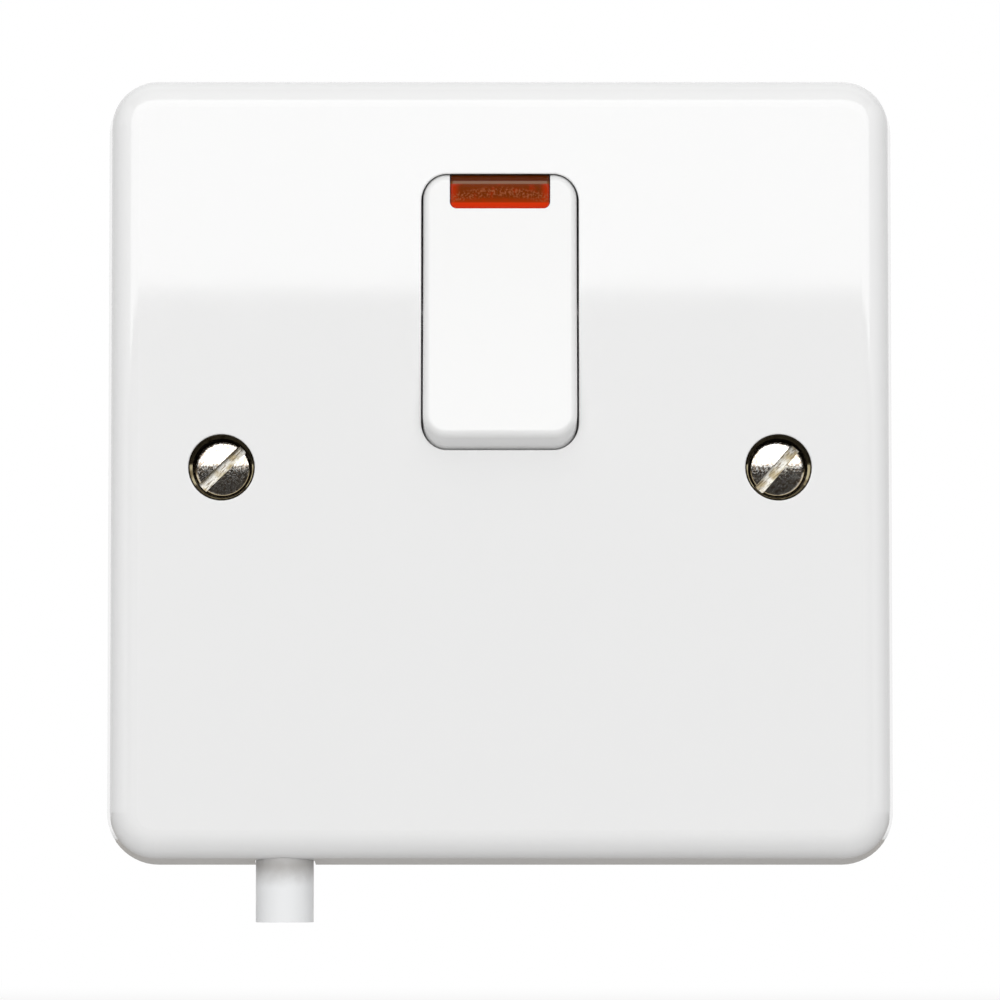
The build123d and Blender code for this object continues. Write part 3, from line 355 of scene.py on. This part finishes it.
def combine(piece, operation, tool):
    """Cuts or clips a piece by a tool, which is used up and leaves its finish on the new faces."""
    step = piece.modifiers.new(operation, "BOOLEAN")
    step.operation = operation
    step.object = tool
    step.solver = "EXACT"
    step.material_mode = "TRANSFER"
    shown = piece.evaluated_get(bpy.context.evaluated_depsgraph_get())
    piece.data = bpy.data.meshes.new_from_object(shown)
    piece.modifiers.clear()
    smooth(piece.data)
    bpy.data.objects.remove(tool)


def settle(piece, body, slot, *replaced):
    """Gives a finished piece its body and hides the nodes it stands for; the slot is not used."""
    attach(piece, body)
    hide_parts(*replaced)


# Fixing screws: turned heads with a sawn slot, and rolled threads

screws_low, screws_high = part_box("fixing_screws")
screw_x = mounts["box_screws"]["dims"]["spacing_x_mm"] / 2 * MM
screw_z = (screws_low.z + screws_high.z) / 2
around = 64

head_radius = screws_high.x - screw_x
head_height = 2.0 * MM
head_dome = 0.19 * MM
dome_steps = 10
head_bevel = 0.18 * MM
bevel_steps = 5
under_bevel = 0.15 * MM
neck_radius = 1.5 * MM

slot_width = 1.05 * MM
slot_depth = 1.1 * MM
slot_lean = 0.05 * MM
slot_angles = (radians(44), radians(49))
saw_clearance = 0.5 * MM
saw_reach = 1.5 * head_radius

thread_radius = mounts["box_screws"]["dims"]["stud_r_mm"] * MM
thread_pitch = 0.6 * MM
thread_depth = 0.36 * MM
thread_start = 0.1 * MM
thread_steepness = 1.25
thread_groove = 0.12
lead_length = 0.6 * MM
lead_taper = 0.3 * MM
rows_per_pitch = 8


def screw_finish():
    """Plated steel with a warm bloom, pitted on the head, with painted shade along the head's edge."""
    bright, warm = (0.86, 0.84, 0.80), (0.78, 0.73, 0.64)
    pitted, painted_gap_shade = (0.44, 0.37, 0.30), (0.34, 0.31, 0.26)
    finish = Finish("plated_steel", {"Metallic": 1.0})
    part = finish.axes()
    aside = finish.math("SUBTRACT", finish.math("ABSOLUTE", part["X"]), screw_x)
    above = finish.math("SUBTRACT", part["Z"], screw_z)
    squares = finish.math("MULTIPLY_ADD", aside, aside, finish.math("MULTIPLY", above, above))
    finish.colour(finish.mix(finish.patches(1.6 * MM, 0.45, 0.7), bright, warm))
    on_head = finish.ramp(part["Y"], screws_low.y + head_height, screws_low.y + slot_depth)
    finish.coat(finish.math("MULTIPLY", on_head, finish.patches(0.3 * MM, 0.48, 0.6)), pitted)
    # Painted shade of the gap round the head: its rim and side are darkened.
    edge_start, edge_full = head_radius - 1.3 * head_bevel, head_radius - 0.8 * head_bevel
    finish.coat(finish.ramp(finish.math("SQRT", squares), edge_start, edge_full), painted_gap_shade)
    finish.roughness(finish.ramp(finish.noise(0.16 * MM, 3), 0.35, 0.65, 0.06, 0.18))
    return finish.bump(finish.noise(0.14 * MM, 3), 1.1 * MICRON)


def sawn_finish():
    """The rough floor and walls that the saw leaves in a slot."""
    bare, stained, scored = (0.84, 0.82, 0.76), (0.50, 0.42, 0.27), (0.24, 0.19, 0.12)
    finish = Finish("sawn_steel", {"Metallic": 1.0})
    streaks = finish.noise(0.1 * MM, 3, stretch=(7, 1, 1), turn=(0, -slot_angles[0], 0))
    finish.colour(finish.mix(finish.patches(1.1 * MM, 0.42, 0.62, detail=3), bare, stained))
    finish.coat(finish.ramp(streaks, 0.5, 0.66), scored)
    finish.roughness(finish.wander(finish.noise(0.25 * MM, 3), 0.26, 0.44))
    return finish.bump(streaks, 3 * MICRON)


def head_profile():
    """(along, radius) from the crown of the head to the end of the neck."""
    disc = head_radius - head_bevel
    dome_radius = (disc * disc + head_dome * head_dome) / (2 * head_dome)
    crown = screws_low.y
    under = crown + head_height
    for step in range(1, dome_steps + 1):
        radius = disc * step / dome_steps
        yield crown + dome_radius - sqrt(dome_radius ** 2 - radius ** 2), radius
    for step in range(1, bevel_steps + 1):
        turn = pi / 2 * step / bevel_steps
        yield crown + head_dome + head_bevel * (1 - cos(turn)), disc + head_bevel * sin(turn)
    yield under - under_bevel, head_radius
    yield under, head_radius - under_bevel
    yield under, neck_radius
    yield thread_start, neck_radius


def thread_rows():
    """(along, root radius, thread height) down the threaded shank to its tapered lead."""
    root = thread_radius - thread_depth
    length = screws_high.y - thread_start
    count = round(length / thread_pitch * rows_per_pitch)
    for row in range(count + 1):
        along = thread_start + length * row / count
        run_out = min(1, (along - thread_start) / thread_pitch)
        lead = min(1, (screws_high.y - along) / lead_length)
        yield along, root - lead_taper * (1 - lead), thread_depth * run_out * lead


def thread_height(along, turn):
    """0 in the groove to 1 on the flat of the thread, a sixty degree form with a narrow crest."""
    phase = (along / thread_pitch - turn / tau) % 1
    return min(1, max(0, thread_steepness * (1 - abs(2 * phase - 1)) - thread_groove))


def ring(x, along, radius, height=0.0):
    """Points round a screw's axis, out to the radius and any thread on it."""
    for step in range(around):
        turn = tau * step / around
        reach = radius + height * thread_height(along, turn)
        yield x + reach * cos(turn), along, screw_z + reach * sin(turn)


def slot_cutter(x, angle):
    """A bar with slightly leaning walls, set across the head at the slot's angle."""
    half = slot_width / 2
    front = screws_low.y - saw_clearance
    floor = screws_low.y + slot_depth
    section = ((-half - slot_lean, front), (half + slot_lean, front), (half, floor), (-half, floor))
    along = Vector((cos(angle), 0, sin(angle)))
    across = Vector((-sin(angle), 0, cos(angle)))
    rows = []
    for reach in (-saw_reach, saw_reach):
        middle = Vector((x, 0, screw_z)) + along * reach
        rows.append([middle + across * side + Vector((0, depth, 0)) for side, depth in section])
    return place("slot_cutter", skin("slot_cutter", rows), sawn)


def screw(name, x, slot_angle):
    """One fixing screw at its place across the plate."""
    rings = [list(ring(x, *row)) for row in (*head_profile(), *thread_rows())]
    piece = place(name, skin(name, rings), plated)
    combine(piece, "DIFFERENCE", slot_cutter(x, slot_angle))
    settle(piece, "housing", "bright_steel", "fixing_screws")


plated = screw_finish()
sawn = sawn_finish()
screw("left_fixing_screw", -screw_x, slot_angles[0])
screw("right_fixing_screw", screw_x, slot_angles[1])


# Eyelets: brass cups round the screw heads, with a shoulder just in front of each head

eyelets_low, eyelets_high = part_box("screw_eyelets")
eyelet_radius = eyelets_high.x - screw_x
eyelet_sheet = 0.15 * MM
eyelet_hole = min(sqrt((abs(vertex.co.x) - screw_x) ** 2 + (vertex.co.z - screw_z) ** 2)
                  for vertex in nodes["screw_eyelets"].data.vertices)
rim_ease = 0.04 * MM
shoulder_gap = 0.2 * MM
shoulder_radius = head_radius + shoulder_gap
shoulder_lift = 0.35 * MM
shoulder_y = screws_low.y - shoulder_lift
shoulder_slope = 0.11 * MM


def eyelet_finish():
    """Polished plated brass, tarnished in patches, with painted shade on its rim and on the cup below the
    shoulder.
    """
    plating, tarnished, painted_shade_colour = (0.48, 0.42, 0.27), (0.20, 0.155, 0.085), (0.08, 0.065, 0.045)
    finish = Finish("eyelet_brass", {"Metallic": 1.0})
    depth = finish.axes()["Y"]
    # Painted shade: near black on the front rim and on the cup behind the shoulder, in the gap round the screw
    # head.
    painted_rim_shade = finish.ramp(depth, eyelets_low.y + 1.2 * MM, eyelets_low.y + 0.2 * MM)
    painted_shade = finish.ramp(depth, shoulder_y + 0.05 * MM, shoulder_y + 0.3 * MM)
    finish.colour(finish.mix(finish.patches(0.9 * MM, 0.42, 0.72), plating, tarnished))
    finish.coat(finish.math("MAXIMUM", painted_rim_shade, painted_shade), painted_shade_colour)
    finish.roughness(finish.wander(finish.noise(0.3 * MM, 3), 0.06, 0.14))
    return finish.bump(finish.noise(0.25 * MM, 2), 0.5 * MICRON)


def eyelet_profile():
    """(along, radius) round the section of the cup, from the hole in its floor outside first."""
    inner = eyelet_radius - eyelet_sheet
    yield eyelets_high.y, eyelet_hole
    yield eyelets_high.y, eyelet_radius
    yield eyelets_low.y + rim_ease, eyelet_radius
    yield eyelets_low.y, eyelet_radius - rim_ease
    yield eyelets_low.y, inner + rim_ease
    yield eyelets_low.y + rim_ease, inner
    yield shoulder_y - shoulder_slope, inner
    yield shoulder_y, shoulder_radius
    yield eyelets_high.y - eyelet_sheet, shoulder_radius
    yield eyelets_high.y - eyelet_sheet, eyelet_hole


def eyelet(name, x):
    """One cup round the screw at that place."""
    section = list(eyelet_profile())
    mesh = skin(name, [list(ring(x, *row)) for row in section + section[:1]], capped=False)
    settle(place(name, mesh, brass_plating), "housing", "eyelet_brass", "screw_eyelets")


brass_plating = eyelet_finish()
eyelet("left_eyelet", -screw_x)
eyelet("right_eyelet", screw_x)


# Indicator lens: the moulded window, its face sunk slightly towards its foot

pivot = Vector(joints["rocker_rock"]["pos_m"])
lens_out = Vector(joints["live_plunger_slide"]["axis"])
lens_up = Vector((0, lens_out.z, -lens_out.y))
flange_margin = 0.9 * MM
lens_points = [vertex.co - pivot for vertex in nodes["indicator_lens"].data.vertices]
lens_foot = min(point.dot(lens_up) for point in lens_points) + flange_margin
lens_half_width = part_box("indicator_lens")[1].x - flange_margin
lens_rise = 2.77 * MM
lens_brow = lens_foot + lens_rise
brow_radius = 1.1 * MM
brow_out = 5.581 * MM
brow_sweep = radians(80)
brow_steps = 12
face_lean = radians(8)
clip_margin = 6 * MM
clip_back = -10 * MM
clip_front = 4 * MM
# Inset and drop in millimetres across the rounded border of the face
lens_easing = ((0, 0.30), (0.05, 0.20), (0.14, 0.10), (0.30, 0.03))
foot_easing = (*lens_easing, (0.55, 0))
end_easing = ((-4, 0.40), *lens_easing, (0.50, 0))


def on_rocker(x, up, out):
    """The point at that place in the rocker's own directions, measured from its pivot."""
    return pivot + Vector((x, 0, 0)) + lens_up * up + lens_out * out


def lens_finish():
    """Red-orange plastic, dark and flecked, with a painted glow along its foot and ends and a painted dark
    reflection on its brow.
    """
    dark, red, painted_end_glow = (0.175, 0.027, 0.001), (0.36, 0.022, 0.001), (0.42, 0.026, 0.001)
    warm, fleck, painted_glow = (0.40, 0.036, 0.001), (0.32, 0.085, 0.03), (0.68, 0.035, 0.003)
    strip, crest = (0.17, 0.055, 0.008), (0.09, 0.014, 0.0)
    band_height, band_core, band_edge, band_curve = 1.75 * MM, 0.2 * MM, 0.75 * MM, 27.0
    finish = Finish("lens_plastic", {"IOR": IOR, "Roughness": 0.1, "Specular IOR Level": 0.35})
    part = finish.axes()
    foot_z = on_rocker(0, lens_foot, brow_out + brow_radius).z
    brow_z = on_rocker(0, lens_brow, brow_out + brow_radius).z
    aside = finish.math("ABSOLUTE", part["X"])
    arch = finish.math("MULTIPLY_ADD", finish.math("MULTIPLY", aside, aside), band_curve, part["Z"])
    off_band = finish.math("ABSOLUTE", finish.math("SUBTRACT", arch, foot_z + band_height))
    band = finish.ramp(off_band, band_edge, band_core)
    finish.colour(finish.mix(finish.patches(1.2 * MM, 0.5, 0.66, most=0.6), dark, red))
    # Painted light: the colour brightens to red towards the ends and towards the foot.
    finish.coat(finish.ramp(aside, lens_half_width - 1.2 * MM, lens_half_width - 0.3 * MM), painted_end_glow)
    finish.coat(finish.ramp(part["Z"], foot_z + 1.4 * MM, foot_z + 0.7 * MM, 0.0, 0.6), warm)
    finish.coat(finish.math("MULTIPLY", band, finish.patches(0.24 * MM, 0.42, 0.68, detail=6)), fleck)
    # Painted light and reflection: a glow painted along the foot, and a painted dark reflection over the brow and
    # its upper rounding.
    for start, full, colour in ((foot_z + 0.72 * MM, foot_z + 0.50 * MM, painted_glow),
                                (brow_z - 0.20 * MM, brow_z - 0.05 * MM, strip),
                                (brow_z + 0.10 * MM, brow_z + 0.20 * MM, crest)):
        finish.coat(finish.ramp(part["Z"], start, full), colour)
    return finish.bump(finish.noise(0.3 * MM, 2), 0.6 * MICRON)


def lens_profile(drop):
    """(up, out) round the body that the lens is clipped to, its face lowered by drop."""
    for step in range(brow_steps + 1):
        turn = -face_lean + (brow_sweep + face_lean) * step / brow_steps
        yield lens_brow + brow_radius * sin(turn), brow_out - drop + brow_radius * cos(turn)
    yield lens_brow + clip_margin, brow_out
    yield lens_brow + clip_margin, clip_back
    yield lens_foot - clip_margin, clip_back
    yield lens_foot - clip_margin, clip_front
    face_up = lens_brow - brow_radius * sin(face_lean)
    face_out = brow_out - drop + brow_radius * cos(face_lean)
    for inset, cut in foot_easing:
        fall = (face_up - lens_foot - inset * MM) * tan(face_lean)
        yield lens_foot + inset * MM, face_out - fall - cut * MM


def lens_window():
    """A copy of the lens clipped to its moulded face, with eased ends."""
    finish = lens_finish()
    rows = [(lens_half_width - inset * MM, drop * MM) for inset, drop in end_easing]
    stations = [(-x, drop) for x, drop in rows] + rows[::-1]
    rings = [[on_rocker(x, up, out) for up, out in lens_profile(drop)] for x, drop in stations]
    piece = place("lens_window", nodes["indicator_lens"].data.copy(), finish)
    combine(piece, "INTERSECT", place("lens_clip", skin("lens_clip", rings), finish))
    settle(piece, "rocker", "lens_plastic", "indicator_lens")


lens_window()


# Plunger springs: round wire coils in the places of the CAD springs, against the rocker

spring_wire = 0.5 * MM
spring_turns = 3.5
wire_sides = 10
steps_per_turn = 24


def coil_rows(x, coil_radius, start, end):
    """Rings of points round the wire, along a coil between two places on the rocker's outward axis."""
    steps = round(spring_turns * steps_per_turn)
    for step in range(steps + 1):
        turn = tau * spring_turns * step / steps
        middle = start + (end - start) * step / steps
        row = []
        for side in range(wire_sides):
            round_wire = tau * side / wire_sides
            reach = coil_radius + spring_wire / 2 * cos(round_wire)
            out = middle + spring_wire / 2 * sin(round_wire)
            row.append(on_rocker(x + reach * cos(turn), reach * sin(turn), out))
        yield row


def spring(pole):
    """A coil in the place of the CAD spring, its front end against the rocker."""
    node = f"{pole}_plunger_spring"
    points = [vertex.co - pivot for vertex in nodes[node].data.vertices]
    outs = [point.dot(lens_out) for point in points]
    sides = [point.x for point in points]
    x = (min(sides) + max(sides)) / 2
    coil_radius = (max(sides) - min(sides) - spring_wire) / 2
    rows = list(coil_rows(x, coil_radius, min(outs) + spring_wire / 2, max(outs) - spring_wire / 2))
    piece = place(f"{pole}_coil", skin(f"{pole}_coil", rows), drawn_wire)
    settle(piece, "rocker", "spring_steel", node)
    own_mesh(piece)


drawn_wire = metal("spring_wire", (0.52, 0.51, 0.50), (0.40, 0.39, 0.38), roughness=0.25, patch=1 * MM)
for pole in poles:
    spring(pole)


# Flex conductors: nineteen laid-up strands at each cut end

X, Z = 0, 2
end_tolerance = 0.05 * MM
strand_length = 2.6 * MM
strand_twist = radians(70)
strand_steps = 7
strand_sides = 8
strands_across = 5
# Strands in each layer round the middle one, and the layer's radius in strand radii
strand_layers = ((6, 2), (12, 4))
# How far a strand's end falls short of the cut, in strand radii, and the turn that varies it
ragged = 0.6
ragged_turn = 2.4


def end_disc(name, axis, side):
    """Centre and radius of the flat end of a wire that points along an axis."""
    points = [vertex.co for vertex in nodes[name].data.vertices]
    reach = side * max(side * point[axis] for point in points)
    rim = [point for point in points if abs(point[axis] - reach) < end_tolerance]
    low, high = (Vector(pick(point[i] for point in rim) for i in range(3)) for pick in (min, max))
    return (low + high) / 2, max(high - low) / 2


def strand(work, start, directions, radius, lay=0.0, turn=0.0):
    """One strand from its cut end back along the wire, wound round the wire's axis."""
    along, across, upward = directions
    rings = []
    for step in range(strand_steps):
        wind = turn + strand_twist * step / (strand_steps - 1)
        middle = start - along * strand_length * step / (strand_steps - 1)
        middle = middle + (across * cos(wind) + upward * sin(wind)) * lay
        rim = []
        for side in range(strand_sides):
            angle = tau * side / strand_sides
            rim.append(work.verts.new(middle + (across * cos(angle) + upward * sin(angle)) * radius))
        rings.append(rim)
    for near, beyond in zip(rings, rings[1:]):
        for side in range(strand_sides):
            work.faces.new((near[side], near[side - 1], beyond[side - 1], beyond[side]))
    work.faces.new(rings[0])
    work.faces.new(rings[-1][::-1])


def strands(work, centre, along, radius):
    """Strands packed one, six and twelve to fill the wire, their ends a little uneven."""
    across = along.orthogonal().normalized()
    directions = (along, across, along.cross(across))
    fine = radius / strands_across
    strand(work, centre, directions, fine)
    for count, layer in strand_layers:
        for index in range(count):
            short = fine * (ragged + ragged * sin(ragged_turn * index))
            strand(work, centre - along * short, directions, fine, layer * fine, tau * index / count)


def conductor(core, axis):
    """A core's copper: strands at its cut end below, and at the end that points along an axis."""
    work = bmesh.new()
    node = f"{core}_conductor"
    for end_axis, side in ((Z, -1), (axis, 1)):
        centre, radius = end_disc(node, end_axis, side)
        along = Vector()
        along[end_axis] = side
        strands(work, centre, along, radius)
    bmesh.ops.recalc_face_normals(work, faces=work.faces)
    mesh = bpy.data.meshes.new(f"{core}_strands")
    work.to_mesh(mesh)
    work.free()
    settle(place(f"{core}_strands", mesh, copper), "housing", "copper_strands", node)


for core, axis in (("live", Z), ("neutral", Z), ("earth", X)):
    conductor(core, axis)


# Studio: a white room, soft boxes in front, above and behind, and cards that only gloss sees

floor_height = -0.11
floor_radius = 2.0
floor_sides = 64

box_y = -1.9
box_low, box_high = 0.195, 1.5
box_width = 2.8
top_height = 1.9
back_place = (0, 1.6, 0.9)
back_width, back_height = 1.2, 1.4
upright = radians(90)

card_half_width = 2
card_front = -1.95
card_middle = -0.02
card_back = 0.9
card_low = -0.10
card_high = 1.85
card_tint = (1, 0.94, 0.87)


def panel(name, corners, finish):
    """A flat sheet that belongs to the studio."""
    mesh = bpy.data.meshes.new(name)
    mesh.from_pydata(corners, [], [list(range(len(corners)))])
    piece = bpy.data.objects.new(name, mesh)
    piece.data.materials.append(finish.material)
    bpy.context.scene.collection.objects.link(piece)
    return piece


def looked_at(tree):
    """1 for what the camera sees, straight on or by gloss or glass, and 0 for light on the part."""
    path = tree.nodes.new("ShaderNodeLightPath")
    seen = path.outputs["Is Camera Ray"]
    for other in ("Is Glossy Ray", "Is Transmission Ray"):
        either = tree.nodes.new("ShaderNodeMath")
        either.operation = "MAXIMUM"
        tree.links.new(seen, either.inputs[0])
        tree.links.new(path.outputs[other], either.inputs[1])
        seen = either.outputs[0]
    return seen


def floor_finish():
    """Pale floor that pales to white towards its border, clear from underneath."""
    fade_start, fade_full = 0.35 * floor_radius, 0.95 * floor_radius
    finish = Finish("floor", {"Roughness": 0.9, "Specular IOR Level": 0.1})
    finish.colour(finish.mix(finish.noise(0.3, 2), (0.62, 0.62, 0.62), (0.65, 0.65, 0.65)))
    floor = finish.shader.outputs[0]
    white = finish.node("ShaderNodeEmission", values={"Color": (1, 1, 1, 1), "Strength": 1.0}).outputs[0]
    clear = finish.node("ShaderNodeBsdfTransparent").outputs[0]
    length = finish.node("ShaderNodeVectorMath", {0: finish.position()}, operation="LENGTH")
    border = finish.ramp(length.outputs["Value"], fade_start, fade_full)
    fade = finish.math("MULTIPLY", border, looked_at(finish.tree))
    above = finish.node("ShaderNodeMixShader", {0: fade, 1: floor, 2: white}).outputs[0]
    beneath = finish.node("ShaderNodeNewGeometry").outputs["Backfacing"]
    shown = finish.node("ShaderNodeMixShader", {0: beneath, 1: above, 2: clear}).outputs[0]
    finish.tree.links.new(shown, finish.tree.nodes["Material Output"].inputs["Surface"])
    return finish


def round_floor():
    """A disc under the part."""
    turns = [tau * side / floor_sides for side in range(floor_sides)]
    corners = [(floor_radius * cos(turn), floor_radius * sin(turn), floor_height) for turn in turns]
    panel("floor", corners, floor_finish())


def flag(name, near, far, grey):
    """A card across the studio between two lines, each given by its Y and Z, that gloss alone sees."""
    finish = Finish(name, {"Roughness": 1.0, "Specular IOR Level": 0.0})
    warm = [grey * tint for tint in card_tint]
    finish.colour(finish.mix(finish.noise(0.2, 2), warm, [1.3 * level for level in warm]))
    left, right = -card_half_width, card_half_width
    piece = panel(name, [(left, *near), (right, *near), (right, *far), (left, *far)], finish)
    piece.visible_camera = False
    piece.visible_diffuse = False
    piece.visible_shadow = False
    piece.visible_transmission = False


def soft_box(name, location, pitch, width, height, radiance, in_gloss=True):
    """A rectangular lamp of even brightness, unseen by the camera."""
    lamp = bpy.data.lights.new(name, "AREA")
    lamp.shape = "RECTANGLE"
    lamp.size = width
    lamp.size_y = height
    lamp.energy = radiance * pi * lamp.size * lamp.size_y
    box = bpy.data.objects.new(name, lamp)
    box.location = location
    box.rotation_euler = (pitch, 0, 0)
    box.visible_camera = False
    box.visible_glossy = in_gloss
    bpy.context.scene.collection.objects.link(box)


def white_room(fill):
    """White to the camera, gloss and glass; a lower even fill as light."""
    world = bpy.data.worlds.new("white_room")
    world.use_nodes = True
    bpy.context.scene.world = world
    tree = world.node_tree
    back = tree.nodes["Background"]
    level = tree.nodes.new("ShaderNodeMapRange")
    level.inputs["To Min"].default_value = fill
    tree.links.new(looked_at(tree), level.inputs["Value"])
    tree.links.new(level.outputs["Result"], back.inputs["Strength"])
    back.inputs["Color"].default_value = (1, 1, 1, 1)


round_floor()
flag("low_flag", (card_front, card_low), (card_front, box_low), grey=0.04)
flag("floor_flag", (card_front, card_low), (card_middle, card_low), grey=0.04)
flag("high_flag", (card_front, box_high), (card_middle, card_high), grey=0.25)
flag("back_floor_flag", (card_middle, card_low), (card_back, card_low), grey=0.36)
soft_box("front_box", (0, box_y, (box_low + box_high) / 2), upright,
         box_width, box_high - box_low, radiance=2.0)
soft_box("low_fill", (0, box_y, (floor_height + box_low) / 2), upright,
         box_width, box_low - floor_height, radiance=2.5, in_gloss=False)
soft_box("top_box", (0, box_y / 2, top_height), 0, box_width, -box_y, radiance=0.72)
soft_box("back_box", back_place, -upright, back_width, back_height, radiance=3.0, in_gloss=False)
white_room(fill=0.35)


# Camera, where the photograph was taken from

sensor_mm = 36
focal_mm = 206.6
camera_distance = 0.629
camera_drop = 0.038
camera_tilt = 3.181
nearest = 0.01


def camera():
    """Looks along Y from a little below the middle, tilted up by camera_tilt degrees."""
    lens = bpy.data.cameras.new("camera")
    lens.sensor_width = sensor_mm
    lens.lens = focal_mm
    lens.clip_start = nearest
    eye = bpy.data.objects.new("camera", lens)
    eye.location = (0, -camera_distance, -camera_drop)
    eye.rotation_euler = (radians(90 + camera_tilt), 0, 0)
    bpy.context.scene.collection.objects.link(eye)
    bpy.context.scene.camera = eye


camera()
bpy.context.scene.view_settings.view_transform = "Standard"
